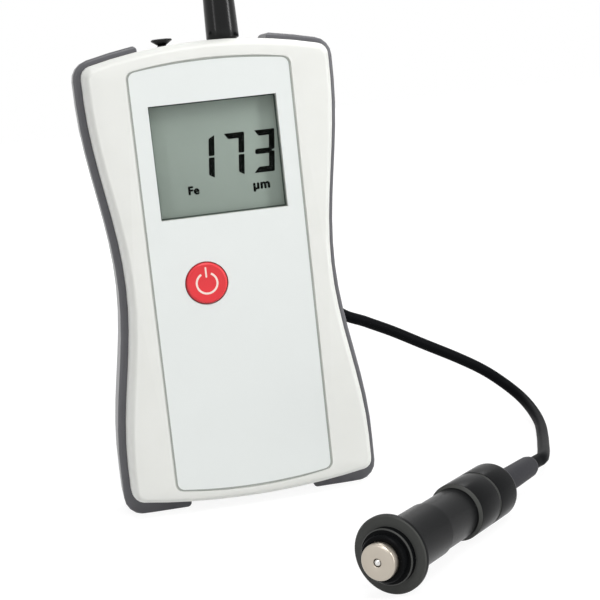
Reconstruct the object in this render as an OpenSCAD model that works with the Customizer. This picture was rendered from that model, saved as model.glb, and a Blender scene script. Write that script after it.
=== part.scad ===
// Handheld coating thickness gauge with a spring-loaded probe on a lead.
// The gauge stands on its two grip feet: X to the right, Y to the back, Z up.
// The origin is on the table, under the middle of the housing.

/* [Housing] */
// Length of the housing between its corner edges
shell_l = 108.8; // [104:0.1:116]
// Width of the housing at its upper end
shell_w = 60.6; // [58:0.1:66]
// Width of the housing at its lower end
shell_low_w = 61.8; // [58:0.1:66]
// Width of the housing at its waist
waist_w = 51.5; // [49:0.1:56]
// Depth of the housing from its front face to its back face
shell_d = 25; // [25:0.1:28]
// Rise of the curved top end above its corners
crown_top = 3.3; // [2:0.1:4.5]
// Drop of the curved bottom end below its corners
crown_bottom = 2.3; // [1.5:0.1:3]
// Radius of the four corners of the outline
corner_r = 3; // [2.5:0.1:4]
// Thickness of the side walls
side_wall = 2.2; // [1.8:0.1:2.6]
// Thickness of the front wall
front_wall = 1.8; // [1.5:0.1:2.2]
// Thickness of the back wall
back_wall = 2; // [1.6:0.1:2.4]
// How far the rounded front edge reaches in from the outline
front_edge = 1.9; // [1:0.1:2.4]
// How far the rounded front edge reaches back along the sides
front_edge_depth = 5.5; // [3:0.1:7]
// How far the rounded back edge reaches in from the outline
back_edge = 2.4; // [1:0.1:3]
// How far the rounded back edge reaches forward along the sides
back_edge_depth = 3.2; // [2:0.1:3.4]

/* [Grips] */
// Thickness of the grips on the two sides
grip_t = 1.95; // [1.2:0.05:2.4]
// Thickness of the grips on the top end
grip_top_t = 1.6; // [1.2:0.05:2.8]
// Gap between the curved bottom end and the table
bottom_gap = 2; // [0.6:0.05:2.2]
// How far the rounded outline of the feet is cut flat by the table
foot_cut = 0.3; // [0.1:0.05:0.6]
// Front edge of the grips, behind the front face
grip_front = 8.6; // [7.5:0.1:10]
// Depth of the grips from front to back
grip_d = 12.9; // [10:0.1:13.1]
// Half the width that the grips leave free on each end
grip_free = 16; // [15:0.1:20]
// Radius of the soft edges of the grips
grip_edge = 0.9; // [0.5:0.05:1.1]
// Radius of the rounded inner ends of the grips
grip_end_r = 1.1; // [0.6:0.05:1.4]

/* [Front] */
// Width of the front foil
foil_w = 39.7; // [38:0.1:42]
// Length of the front foil between its corners
foil_l = 103.6; // [100:0.1:104.4]
// Rise of the curved ends of the front foil
foil_crown = 1.5; // [0.8:0.1:2]
// Thickness of the front foil
foil_t = 0.3; // [0.2:0.05:0.4]
// Depth of the recess that the foil lies in
foil_recess = 0.4; // [0.3:0.05:0.6]
// Width of the display window
window_w = 31.2; // [28:0.1:32]
// Height of the display window
window_h = 27.6; // [24:0.1:28.4]
// Height of the middle of the window above the middle of the housing
window_up = 29.4; // [28:0.1:30]
// Diameter of the power key
key_dia = 10.2; // [8:0.1:11]
// Distance of the power key to the left of the middle
key_left = 6.45; // [0:0.05:8]
// Distance of the power key below the middle of the housing
key_down = 0.75; // [0:0.05:4]
// Height of the power key above the foil
key_proud = 0.5; // [0.3:0.05:0.9]
// Travel of the power key
key_travel = 0.45; // [0.2:0.05:0.6]

/* [Display and board] */
// Thickness of the display glass
glass_t = 1.8; // [1.4:0.1:2.2]
// Height of the contact strips between the glass and the board
strip_t = 2.5; // [2:0.1:2.7]
// Thickness of the circuit board
board_t = 1.6; // [1:0.1:1.8]
// Width of the circuit board
board_w = 41; // [40:0.1:42]
// Length of the circuit board
board_l = 94; // [92:0.1:96]
// Diameter of the buzzer
buzzer_dia = 11; // [9:0.1:12]
// Height of the buzzer
buzzer_h = 4.4; // [3:0.1:5]

/* [Battery bay] */
// Diameter of a battery cell
cell_dia = 10.5; // [10:0.1:10.6]
// Length of a battery cell without its nub
cell_l = 43.3; // [42:0.1:44]
// Distance between the axes of the two cells
cell_pitch = 11.6; // [11.2:0.1:12.4]
// Height of the bottom of the cells above the lowest point of the housing
cell_up = 12.1; // [11.9:0.1:12.7]
// Thickness of the walls of the battery bay
bay_wall = 1.2; // [1:0.1:1.5]
// Room for the contacts at each end of the bay
contact_room = 2.4; // [2.2:0.1:2.6]
// Width of the battery cover
cover_w = 36; // [35:0.1:38]
// Length of the battery cover
cover_l = 58; // [57:0.1:59]
// Height of the lower edge of the cover above the lowest point of the housing
cover_up = 4.4; // [4.2:0.1:4.7]
// Thickness of the battery cover
cover_t = 1.7; // [1.5:0.05:1.9]
// Travel of the battery cover until its hooks are free
cover_travel = 4; // [3.5:0.1:4.2]

/* [Top end] */
// Distance of the cable boot to the right of the middle
boot_right = 6; // [4:0.1:9]
// Diameter of the cable boot where it leaves the housing
boot_dia = 8.2; // [7.6:0.1:9]
// Diameter of the free end of the cable boot
boot_end_dia = 5; // [4.4:0.1:6]
// Length of the cable boot outside the housing
boot_l = 28.3; // [26:0.1:30]
// Distance of the data socket to the left of the middle
socket_left = 9.3; // [9:0.1:12]
// Diameter of the head of the dust plug
plug_dia = 5.3; // [5:0.1:7]
// Height of the head of the dust plug
plug_h = 1.9; // [1.4:0.05:3]
// Diameter of the bore of the data socket
jack_dia = 3.6; // [2.6:0.1:3.6]
// Travel of the dust plug until it is out of the socket
plug_travel = 4; // [3:0.1:6]

/* [Screws] */
// Distance of the housing screws from the middle, to each side
screw_side = 24; // [23.6:0.1:24.4]
// Distance of the housing screws from the corner edges of the ends
screw_in = 6.6; // [6.4:0.1:7]
// Diameter of the screw shank
screw_dia = 2.2; // [1.8:0.1:2.6]
// Diameter of the screw head
screw_head_dia = 4.2; // [3.8:0.1:4.4]
// Diameter of the screw posts
post_dia = 6; // [5.6:0.1:6.2]

/* [Probe] */
// Diameter of the flange of the probe
flange_dia = 16.7; // [15.5:0.1:19]
// Thickness of the flange
flange_t = 1.2; // [0.8:0.1:2]
// Diameter of the guide ring
ring_dia = 13; // [12.4:0.1:13]
// Distance of the front of the guide ring behind the flange face
ring_from = 30.6; // [29:0.1:32]
// Distance of the back of the guide ring behind the flange face
ring_to = 41; // [39:0.1:42]
// Diameter of the collar behind the flange
collar_dia = 12.1; // [11.8:0.1:12.6]
// Distance of the back of the collar behind the flange face
collar_to = 17.5; // [14:0.1:20]
// Diameter of the sleeve behind the collar
sleeve_dia = 11.4; // [11.3:0.1:11.6]
// Diameter of the rear barrel
barrel_dia = 13; // [13:0.1:13.6]
// Distance of the back of the barrel behind the flange face
barrel_to = 51.5; // [50:0.1:53]
// Diameter of the larger nose step
nose_dia = 12; // [11.6:0.1:12.4]
// Diameter of the smaller nose step
lip_dia = 10; // [9.6:0.1:10.4]
// Reach of the larger nose step in front of the flange
nose_reach = 1.6; // [1.4:0.1:2]
// Reach of the smaller nose step in front of the flange
lip_reach = 3.3; // [3:0.1:3.6]
// Diameter of the pole of the sensor
pole_dia = 7.7; // [7.2:0.1:7.9]
// Diameter of the wear pin in the middle of the pole
pin_dia = 1.6; // [1.2:0.1:2]
// Travel of the sensor into the sleeve
sensor_travel = 2; // [1:0.1:2.4]
// Length of the spring behind the sensor
spring_l = 10.4; // [9:0.1:12]
// Diameter of the spring wire
spring_wire = 0.8; // [0.6:0.1:1]
// Diameter of the boot at the back of the probe
tail_dia = 5.6; // [5:0.1:6]
// Length of the boot at the back of the probe
tail_l = 21.5; // [19:0.1:24]
// Place of the middle of the flange face on the table
probe_at = [16.3, -87];
// Turn of the probe from straight ahead
probe_turn = 42; // [40:1:44]

/* [Lead] */
// Diameter of the probe lead
lead_dia = 3.2; // [2.6:0.1:3.6]

/* [Fits] */
// Gap between pieces that lie against each other
seat = 0.05; // [0.02:0.01:0.1]
// Gap round a piece that slides or lifts out
slip = 0.25; // [0.2:0.01:0.3]
// Radial gap of the sensor in its sleeve
run = 0.06; // [0.03:0.01:0.1]

/* [Hidden] */
$fn = 48;

// Length of a cut that goes right through the part
through = 200;

// Levels of the housing
front_y = -shell_d / 2;
back_y = shell_d / 2;
split_y = 1;
corner_z = crown_bottom + bottom_gap;
mid_z = corner_z + shell_l / 2;
top_z = corner_z + shell_l + crown_top;
top_r = crown_r(shell_w, corner_r, crown_top);
wall_in_y = front_y + front_wall;
foil_corner = 1.8;
side_straight = 4.4;
side_n = 18;
corner_n = 4;
crown_n = 10;
edge_n = 4;

// Levels of the display and the board
foil_y = front_y + foil_recess - foil_t;
recess_y = front_y + foil_recess;
window_z = mid_z + window_up;
window_lip = 1.3;
window_lip_t = 0.8;
window_lip_y = wall_in_y + seat;
glass_y = window_lip_y + window_lip_t + seat;
glass_margin = 1.6;
glass_w = window_w + 2 * glass_margin;
glass_h = window_h + 2 * glass_margin;
frame_wall = 1.7;
strip_y = glass_y + glass_t + seat;
strip_d = 2.2;
strip_in = 2;
board_y = strip_y + strip_t + seat;
board_back_y = board_y + board_t;
board_post_x = 17.5;
board_post_low = 44;
board_post_high = 7.5;
board_post_dia = 5;

// Levels of the key
key_x = -key_left;
key_z = mid_z - key_down;
key_lip = 1;
key_lip_t = 0.9;
key_stem_dia = 4;
dome_dia = 8;
dome_t = 0.35;
dome_y = board_y - seat - dome_t;

// Small parts on the back of the board: place from the middle of the window, then width, height and depth
chips = [[6, -2, 10, 10, 1.4], [11, -14, 3.2, 8, 2.2], [-12, -8, 5, 4, 1.6]];
buzzer_x = -9;
buzzer_gap = 1.4;
buzzer_hole = 2;

// Size of the small bevels on turned edges
bevel = 0.3;

// Levels of the battery bay
cell_z = bottom_gap + cell_up;
cover_z = bottom_gap + cover_up;
pocket_y = back_y - cover_t - slip;
pocket_wall = 1.5;
pad_margin = 3;
pad_top = cover_z + cover_l + slip + pad_margin;
pad_w = cover_w + 2 * (slip + pad_margin);
cell_y = pocket_y - slip - cell_dia / 2;
nub_l = 1.2;
nub_dia = 3.8;
bay_front_y = cell_y - cell_dia / 2 - slip - bay_wall;
bay_half = cell_pitch / 2 + cell_dia / 2 + slip;
bay_z = cell_z - contact_room;
bay_top = cell_z + cell_l + nub_l + contact_room;
bay_mid = (bay_z + bay_top) / 2;
bay_h = bay_top - bay_z;
buzzer_z = bay_top + bay_wall + buzzer_dia / 2 + buzzer_gap;
contact_t = 0.4;
contact_w = 8;
coil_wire = 0.9;
plate_dome_dia = 3;
hook_l = 5;
hook_neck = 1.6;
hook_foot = 1.5;
hook_t = 1.1;
hook_x = cover_w / 2 - 2.4;
hook_at = [10, 40];
ridge_d = 0.5;
ridge_w = 18;
ridge_pitch = 2.2;
ridge_h = 1;
ridge_down = 6;

// Levels of the top end
boot_neck_dia = boot_dia - 1.2;
boot_disc_dia = boot_dia + 2.8;
boot_disc_t = 2;
boot_in = top_z - top_at(boot_right + boot_disc_dia / 2) + side_wall + seat;
boot_end_z = top_z + boot_l;
boot_waist_dia = 7.7;
boot_waist_up = 11;
socket_w = 8;
socket_h = 10.5;
socket_back = 4.6;
socket_gap = 0.5;
socket_top = top_at(socket_left + socket_w / 2) - side_wall - socket_gap;
plug_z = top_at(socket_left);
plug_stem_dia = jack_dia - 2 * slip;
plug_hole_dia = plug_stem_dia + 2 * slip;
plug_stem_l = plug_z - socket_top + plug_travel;
plug_rim_t = 0.5;
plug_neck_dia = 2;

// Levels of the screws
screw_low = corner_z + screw_in;
screw_high = corner_z + shell_l - screw_in;
screw_head_t = 1.6;
screw_head_y = back_y - 2.6;
screw_tip_y = wall_in_y + 2;

// Lie of the probe: the flange and the back of the barrel both touch the table
barrel_round = 2;
probe_dip = atan((flange_dia - barrel_dia) / 2 / (barrel_to - barrel_round - flange_t));
probe_z = flange_dia / 2 * cos(probe_dip) + flange_t * sin(probe_dip);
chamber_r = 5.2;
lip_wall = 2.3;
holder_gap = 0.1;
holder_front = -lip_reach + lip_wall + holder_gap;
holder_back = 11.4;
holder_end = 1.4;
pole_face = -lip_reach - sensor_travel;
pole_back = 3;
core_dia = 3;
coil_gap = 0.2;
pin_well_dia = pin_dia + 1;
pin_well = 0.7;
pin_out = 0.3;
pin_straight = 0.2;
spring_back = holder_back + 2 * seat + spring_l;
spring_r = 4;
spring_turns = 6;
spring_sides = 6;
wire_bore_dia = 3.6;
tail_stem_dia = 5;
tail_stem_l = 5;
tail_end_dia = 4.1;
tail_straight = 0.1;
ring_chamfer = 0.7;
ring_groove = 0.5;

// Route of the lead: an arch from the end of the cable boot, then down behind the gauge and over the table
lead_straight = 4;
lead_sides = 8;
lead_steps = 2;
lead_arch = [
    [0, 0, 0], [0, 0, lead_straight], [0, 0, 2 * lead_straight],
    [0.5, 2.8, 15], [1.5, 8.2, 22], [2.8, 16.4, 25.6], [4.2, 25, 23.8], [5.2, 32, 16.5], [5.8, 36, 6]
];
lead_fall = [
    [12, 38, 136.5], [12.2, 38.3, 122.5], [12.6, 38.5, 108.5], [13.6, 38.6, 94.5], [15.8, 38.6, 81],
    [19.2, 38.4, 68.5], [23.6, 38.2, 57.5], [29, 38, 47.8], [35.2, 38, 37.8], [43.3, 39, 33.4],
    [51.2, 40.2, 29.3], [60.4, 41.6, 24], [70.5, 42.4, 18.3], [77.9, 42.1, 13.6], [83.2, 39.8, 9.2],
    [86.4, 34.8, 5.6], [87, 27, 3.1], [85.4, 16.9, 1.8], [81.2, 3.2, 2], [77.3, -8.3, 3], [73.6, -19, 4.3]
];

// Point on the axis of the probe, a given distance behind the face of the flange
function probe_point(s) = [
    probe_at[0] + s * sin(probe_turn) * cos(probe_dip),
    probe_at[1] + s * cos(probe_turn) * cos(probe_dip),
    probe_z - s * sin(probe_dip)
];

// Points of an arc, from one angle to another
function arc(cx, cy, r, a0, a1, n) = [
    for (i = [0 : n]) let (a = a0 + (a1 - a0) * i / n) [cx + r * cos(a), cy + r * sin(a)]
];

// Half the width of the waisted outline at a distance from its middle
function half_width(b, full, waist, span) =
    waist / 2 + (full - waist) / 4 * (1 - cos(180 * min(1, abs(b) / span)));

// Radius of a curved end that runs smoothly into its two rounded corners
function crown_r(w, r, crown) = (pow(w / 2 - r, 2) + pow(r + crown, 2) - r * r) / (2 * crown);

// Height of the curved top end of the housing at a distance from its middle
function top_at(x) = top_z - top_r + sqrt(top_r * top_r - x * x);

// Height of the curved top of the grips at a distance from the middle
function grip_top_at(x) =
    let (big = crown_r(shell_w + 2 * grip_t, corner_r + grip_t, crown_top))
    top_z + grip_top_t - big + sqrt(big * big - x * x);

// One curved end of an outline, from its right corner over to its left corner
function end_curve(w, half_l, r, crown) =
    let (
        a = w / 2 - r,
        big = crown_r(w, r, crown),
        cz = half_l + crown - big,
        t = atan2(half_l - r - cz, a),
        bow = arc(0, cz, big, t, 180 - t, crown_n)
    )
    concat(
        arc(a, half_l - r, r, 0, t, corner_n),
        [for (i = [1 : crown_n - 1]) bow[i]],
        arc(-a, half_l - r, r, 180 - t, 180, corner_n)
    );

// Outline with waisted sides and curved ends, about the middle of its length
function outline(full, low_full, waist, up, down, r, rise, drop) =
    let (
        low = -(down - r),
        high = up - r,
        span = min(up, down) - r - side_straight,
        side = [
            for (i = [1 : side_n - 1])
                let (b = low + (high - low) * i / side_n, end_w = b < 0 ? low_full : full)
                [half_width(b, end_w, waist, span), b]
        ]
    )
    concat(
        side,
        end_curve(full, up, r, rise),
        [for (i = [side_n - 2 : -1 : 0]) [-side[i][0], side[i][1]]],
        [for (p = end_curve(low_full, down, r, drop)) -p]
    );

function edge_normal(p, q) = let (d = q - p) [d[1], -d[0]] / norm(d);

// The outline moved outwards by a distance, or inwards by a negative one
function grown(pts, d) =
    let (n = len(pts))
    [
        for (i = [0 : n - 1])
            let (
                a = edge_normal(pts[(i + n - 1) % n], pts[i]),
                b = edge_normal(pts[i], pts[(i + 1) % n])
            )
            pts[i] + d * (a + b) / (1 + a * b)
    ];

// Rings of a rounded edge, from the face inwards along Y
function edge_rings(pts, y, way, depth, reach) = [
    for (k = [0 : edge_n])
        let (a = 90 * k / edge_n) [y + way * depth * (1 - cos(a)), grown(pts, -reach * (1 - sin(a)))]
];

function reversed(list) = [for (i = [len(list) - 1 : -1 : 0]) list[i]];

shell_pts = outline(
    shell_w, shell_low_w, waist_w, shell_l / 2, shell_l / 2, corner_r, crown_top, crown_bottom
);
grip_pts = outline(
    shell_w + 2 * grip_t, shell_low_w + 2 * grip_t, waist_w + 2 * grip_t, shell_l / 2 + grip_top_t,
    mid_z + foot_cut, corner_r + grip_t, crown_top, crown_bottom
);
foil_pts = outline(foil_w, foil_w, foil_w, foil_l / 2, foil_l / 2, foil_corner, foil_crown, foil_crown);

// Solid through rings of outline points, each at its own Y. Each end is closed by triangles about
// the middle, because a waisted outline isn't seen whole from one of its corners.
module loft(rings) {
    n = len(rings[0][1]);
    last = len(rings) - 1;
    middle = n * len(rings);
    pts = concat(
        [for (r = rings) for (p = r[1]) [p[0], r[0], mid_z + p[1]]],
        [[0, rings[0][0], mid_z], [0, rings[last][0], mid_z]]
    );
    sides = [
        for (k = [0 : last - 1])
            for (i = [0 : n - 1])
                let (a = k * n + i, b = k * n + (i + 1) % n)
                each [[a, b, b + n], [a, b + n, a + n]]
    ];
    front = [for (i = [0 : n - 1]) [(i + 1) % n, i, middle]];
    back = [for (i = [0 : n - 1]) [last * n + i, last * n + (i + 1) % n, middle + 1]];
    polyhedron(points = pts, faces = concat(front, sides, back), convexity = 6);
}

// Straight solid of an outline between two depths
module along_y(y0, y1, pts)
    translate([0, y1, mid_z]) rotate([90, 0, 0]) linear_extrude(height = y1 - y0) polygon(pts);

// Round bar along Y
module bar_y(x, z, y0, y1, d)
    translate([x, y0, z]) rotate([-90, 0, 0]) cylinder(h = y1 - y0, d = d);

// Block between two depths, centred on X and Z
module block_y(x, z, w, h, y0, y1)
    translate([x - w / 2, y0, z - h / 2]) cube([w, y1 - y0, h]);

// The four places of the housing screws
module at_screws()
    for (x = [-screw_side, screw_side], z = [screw_low, screw_high]) translate([x, 0, z]) children();

// The four places where the board is held
module at_board_posts()
    for (x = [-board_post_x, board_post_x], z = [mid_z - board_post_low, mid_z + board_post_high])
        translate([x, 0, z]) children();

// Places the probe on the table, with its axis along Z towards the back
module at_probe()
    translate([probe_at[0], probe_at[1], probe_z])
        rotate([0, 0, -probe_turn])
            rotate([-90 - probe_dip, 0, 0])
                children();

// Turned solid from a list of radius and height pairs
module turned(pts) rotate_extrude() polygon(pts);

// Tube along a line of points, with rings square to the line
module tube(line, r, sides) {
    n = len(line);
    ways = [
        for (i = [0 : n - 1])
            let (d = line[min(i + 1, n - 1)] - line[max(i - 1, 0)]) d / norm(d)
    ];
    // Each ring takes over the side direction of the ring before it
    sidesteps = [
        for (
            i = 0, s = cross(ways[0], [0.3, 1, 0.2]);
            i < n;
            i = i + 1, s = i < n ? s - (s * ways[i]) * ways[i] : s
        )
            s / norm(s)
    ];
    pts = [
        for (i = [0 : n - 1])
            let (u = sidesteps[i], v = cross(ways[i], u))
            for (k = [0 : sides - 1])
                let (a = 360 * k / sides) line[i] + r * (cos(a) * u + sin(a) * v)
    ];
    walls = [
        for (i = [0 : n - 2])
            for (k = [0 : sides - 1])
                let (a = i * sides + k, b = i * sides + (k + 1) % sides)
                each [[a, b + sides, b], [a, a + sides, b + sides]]
    ];
    start = [for (k = [0 : sides - 1]) k];
    end = [for (k = [sides - 1 : -1 : 0]) (n - 1) * sides + k];
    polyhedron(points = pts, faces = concat([start], walls, [end]), convexity = 8);
}

// Smooth curve through the points, with a number of steps between each two
function smooth(p, steps) =
    let (n = len(p))
    concat(
        [
            for (i = [0 : n - 2])
                let (a = p[max(i - 1, 0)], b = p[i], c = p[i + 1], d = p[min(i + 2, n - 1)])
                for (k = [0 : steps - 1])
                    let (t = k / steps)
                    0.5 * (2 * b + (c - a) * t + (2 * a - 5 * b + 4 * c - d) * t * t
                        + (3 * b - a - 3 * c + d) * t * t * t)
        ],
        [p[n - 1]]
    );

module front_shell() color("whitesmoke") difference() {
    union() {
        difference() {
            loft(concat(
                edge_rings(shell_pts, front_y, 1, front_edge_depth, front_edge),
                [[split_y, shell_pts]]
            ));
            along_y(wall_in_y, split_y + 1, grown(shell_pts, -side_wall));
        }
        at_screws() bar_y(0, 0, wall_in_y - 0.5, split_y, post_dia);
        at_board_posts() bar_y(0, 0, wall_in_y - 0.5, board_y - seat, board_post_dia);
    }
    along_y(front_y - 1, recess_y, grown(foil_pts, slip));
    block_y(0, window_z, window_w + 2 * seat, window_h + 2 * seat, front_y - 1, wall_in_y + 1);
    bar_y(key_x, key_z, front_y - 1, wall_in_y + 1, key_dia + 2 * slip);
    at_screws() bar_y(0, 0, screw_tip_y - 1, split_y + 1, screw_dia + 2 * seat);
    top_holes();
}

// Holes for the boot and the dust plug, shared by the two shells
module top_holes() {
    translate([boot_right, split_y, top_z - 12]) cylinder(h = 14, d = boot_neck_dia + 2 * seat);
    translate([-socket_left, split_y, top_z - 12]) cylinder(h = 14, d = plug_hole_dia);
}

module rear_shell() color("whitesmoke") difference() {
    union() {
        difference() {
            loft(concat(
                [[split_y, shell_pts]],
                reversed(edge_rings(shell_pts, back_y, -1, back_edge_depth, back_edge))
            ));
            along_y(split_y - 1, back_y - back_wall, grown(shell_pts, -side_wall));
        }
        intersection() {
            block_y(0, pad_top / 2, pad_w, pad_top, pocket_y - pocket_wall, back_y - back_wall);
            along_y(split_y, back_y, grown(shell_pts, -side_wall / 2));
        }
        block_y(0, bay_mid, 2 * (bay_half + bay_wall), bay_h + 2 * bay_wall, bay_front_y, pocket_y);
        at_screws() bar_y(0, 0, split_y, back_y - back_wall + 0.2, post_dia);
    }
    block_y(0, bay_mid, 2 * bay_half, bay_h, bay_front_y + bay_wall, back_y + 1);
    translate([-cover_w / 2 - slip, pocket_y, -1])
        cube([cover_w + 2 * slip, back_y, cover_z + cover_l + slip + 1]);
    cover_slots();
    at_screws() bar_y(0, 0, split_y - 1, back_y, screw_dia + 2 * slip);
    at_screws() bar_y(0, 0, screw_head_y - screw_head_t, back_y + 1, screw_head_dia + 2 * slip);
    top_holes();
}

// Slots that let the hooks of the cover in at the bottom of its travel and hold them at the top
module cover_slots()
    for (side = [-1, 1], up = hook_at) {
        low = cover_z + up - cover_travel - slip;
        neck = hook_neck + 2 * slip;
        wide = neck + hook_foot;
        translate([side * hook_x - neck / 2, bay_front_y, low])
            cube([neck, shell_d, hook_l + cover_travel + 2 * slip]);
        translate([side > 0 ? hook_x - neck / 2 : -hook_x + neck / 2 - wide, bay_front_y, low])
            cube([wide, shell_d, hook_l + 2 * slip]);
    }

// The left grip, cut out of a band with soft edges; the right one is its mirror image
module grip() {
    low_y = front_y + grip_front;
    high_y = low_y + grip_d;
    color("#55555a") difference() {
        loft(concat(
            edge_rings(grip_pts, low_y, 1, grip_edge, grip_edge),
            reversed(edge_rings(grip_pts, high_y, -1, grip_edge, grip_edge))
        ));
        along_y(low_y - 1, high_y + 1, grown(shell_pts, seat));
        translate([-grip_free, low_y - 1, -through / 2]) cube([through, grip_d + 2, 2 * through]);
        translate([-through / 2, low_y - 1, -through]) cube([through, grip_d + 2, through]);
        translate([-grip_free - grip_end_r, low_y - 1, grip_top_at(grip_free + grip_end_r) - grip_end_r])
            end_cutter();
        translate([-grip_free - grip_end_r, low_y - 1, grip_end_r]) mirror([0, 0, 1]) end_cutter();
    }
}

// Takes off the outer corner of an inner end, about the middle of its rounding
module end_cutter() difference() {
    cube([2 * grip_end_r, grip_d + 2, 2 * grip_end_r]);
    translate([0, -1, 0]) rotate([-90, 0, 0]) cylinder(h = grip_d + 4, r = grip_end_r);
}

module grip_left() grip();

module grip_right() mirror([1, 0, 0]) grip();

module front_foil() color("#e0e4e4") difference() {
    along_y(foil_y, recess_y, foil_pts);
    block_y(0, window_z, window_w + 2 * seat, window_h + 2 * seat, front_y - 1, recess_y + 1);
    bar_y(key_x, key_z, front_y - 1, recess_y + 1, key_dia + 2 * slip);
}

module display_window() color("#c8d0cc", 0.5) union() {
    block_y(0, window_z, window_w, window_h, foil_y + foil_t / 2, window_lip_y);
    block_y(
        0, window_z, window_w + 2 * window_lip, window_h + 2 * window_lip,
        window_lip_y, window_lip_y + window_lip_t
    );
}

module lcd_frame() color("#3a3d40") difference() {
    block_y(
        0, window_z, glass_w + 2 * frame_wall, glass_h + 2 * frame_wall, wall_in_y + seat, board_y - seat
    );
    block_y(0, window_z, glass_w + 2 * seat, glass_h + 2 * seat, wall_in_y - 1, board_y + 1);
}

module lcd_glass() color("#97a29a")
    block_y(0, window_z, glass_w, glass_h, glass_y, glass_y + glass_t);

module zebra_strips() color("#d98c9a")
    for (way = [-1, 1])
        block_y(
            0, window_z + way * (glass_h - strip_d) / 2, glass_w - 2 * strip_in, strip_d,
            strip_y, strip_y + strip_t
        );

module main_board() color("#2f6b45") difference() {
    union() {
        block_y(0, mid_z, board_w, board_l, board_y, board_back_y);
        for (c = chips)
            block_y(c[0], window_z + c[1], c[2], c[3], board_back_y, board_back_y + c[4]);
    }
    at_board_posts() bar_y(0, 0, board_y - 1, board_back_y + 1, screw_dia);
}

module snap_dome() color("silver") translate([key_x, dome_y + dome_t, key_z]) rotate([90, 0, 0])
    turned([[0, 0], [dome_dia / 2, 0], [dome_dia / 2, 0.1], [dome_dia / 4, dome_t], [0, dome_t]]);

module power_key() color("#e5383f") union() {
    key_top = foil_y - key_proud;
    key_in = wall_in_y + seat;
    translate([key_x, key_in, key_z]) rotate([90, 0, 0])
        turned([
            [0, 0], [key_dia / 2, 0], [key_dia / 2, key_in - key_top - bevel],
            [key_dia / 2 - bevel, key_in - key_top], [0, key_in - key_top]
        ]);
    bar_y(key_x, key_z, key_in, key_in + key_lip_t, key_dia + 2 * slip + 2 * key_lip);
    bar_y(key_x, key_z, key_in, dome_y - key_travel - seat, key_stem_dia);
}

module buzzer() color("#26282a") difference() {
    top = board_back_y + seat + buzzer_h;
    bar_y(buzzer_x, buzzer_z, board_back_y + seat, top, buzzer_dia);
    bar_y(buzzer_x, buzzer_z, top - 1, top + 1, buzzer_hole);
}

// One cell, standing on its flat end
module cell() {
    cylinder(h = cell_l, d = cell_dia);
    cylinder(h = cell_l + nub_l, d = nub_dia);
}

module battery_cells() color("#3f6f8f") union() {
    translate([-cell_pitch / 2, cell_y, cell_z]) cell();
    translate([cell_pitch / 2, cell_y, cell_z + cell_l + nub_l]) mirror([0, 0, 1]) cell();
}

// Flat contact with a coil of shrinking rings on it, from the end of the bay towards the cell
module spring_contact(room) {
    translate([-contact_w / 2, -contact_w / 2, 0]) cube([contact_w, contact_w, contact_t]);
    rings = 3;
    rise = (room - contact_t - coil_wire) / (rings - 1);
    for (i = [0 : rings - 1])
        translate([0, 0, contact_t + coil_wire / 2 - 0.05 + rise * i])
            rotate_extrude() translate([3.2 - 0.7 * i, 0]) circle(d = coil_wire, $fn = 24);
    cylinder(h = room - coil_wire, d = 1.2);
}

module plate_contact(room) {
    translate([-contact_w / 2, -contact_w / 2, 0]) cube([contact_w, contact_w, contact_t]);
    cylinder(h = room, d = plate_dome_dia);
}

module battery_contacts() color("silver") {
    flat_room = contact_room - seat;
    translate([-cell_pitch / 2, cell_y, bay_z + seat]) spring_contact(flat_room - seat);
    translate([cell_pitch / 2, cell_y, bay_z + seat]) plate_contact(flat_room - seat);
    translate([-cell_pitch / 2, cell_y, bay_top - seat]) mirror([0, 0, 1]) plate_contact(flat_room - seat);
    translate([cell_pitch / 2, cell_y, bay_top - seat]) mirror([0, 0, 1]) spring_contact(flat_room - seat);
}

module battery_cover() color("whitesmoke") difference() {
    union() {
        block_y(0, cover_z + cover_l / 2, cover_w, cover_l, back_y - cover_t, back_y);
        for (side = [-1, 1], up = hook_at) cover_hook(side, cover_z + up);
    }
    for (i = [0 : 3])
        block_y(
            0, cover_z + cover_l - ridge_down - i * ridge_pitch, ridge_w, ridge_h,
            back_y - ridge_d, back_y + 1
        );
}

// Hook of the cover: a neck through the slot and a foot behind the wall of the pocket
module cover_hook(side, z) {
    foot_y = pocket_y - pocket_wall - slip;
    translate([side * hook_x - hook_neck / 2, foot_y - hook_t, z])
        cube([hook_neck, back_y - cover_t - foot_y + hook_t, hook_l]);
    translate([side > 0 ? hook_x - hook_neck / 2 : -hook_x - hook_neck / 2 - hook_foot, foot_y - hook_t, z])
        cube([hook_neck + hook_foot, hook_t, hook_l]);
}

module housing_screws() color("silver") at_screws() {
    bar_y(0, 0, screw_tip_y, screw_head_y, screw_dia);
    difference() {
        bar_y(0, 0, screw_head_y - screw_head_t + seat, screw_head_y, screw_head_dia);
        for (turn = [0, 90])
            translate([0, screw_head_y, 0]) rotate([0, turn, 0]) cube([2.6, 1.6, 0.6], center = true);
    }
}

module data_socket() color("#222426") difference() {
    translate([-socket_left - socket_w / 2, board_back_y + seat, socket_top - socket_h])
        cube([socket_w, split_y + socket_back - board_back_y, socket_h]);
    translate([-socket_left, split_y, plug_z - plug_stem_l - slip]) cylinder(h = 20, d = jack_dia);
}

module dust_plug() color("#1c1d1f") translate([-socket_left, split_y, plug_z])
    turned([
        [0, -plug_stem_l], [plug_stem_dia / 2 - bevel, -plug_stem_l],
        [plug_stem_dia / 2, -plug_stem_l + bevel], [plug_stem_dia / 2, -bevel],
        [plug_neck_dia / 2, bevel], [plug_dia / 2, plug_h - plug_rim_t], [plug_dia / 2, plug_h - bevel],
        [plug_dia / 2 - bevel, plug_h], [0, plug_h]
    ]);

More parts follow.
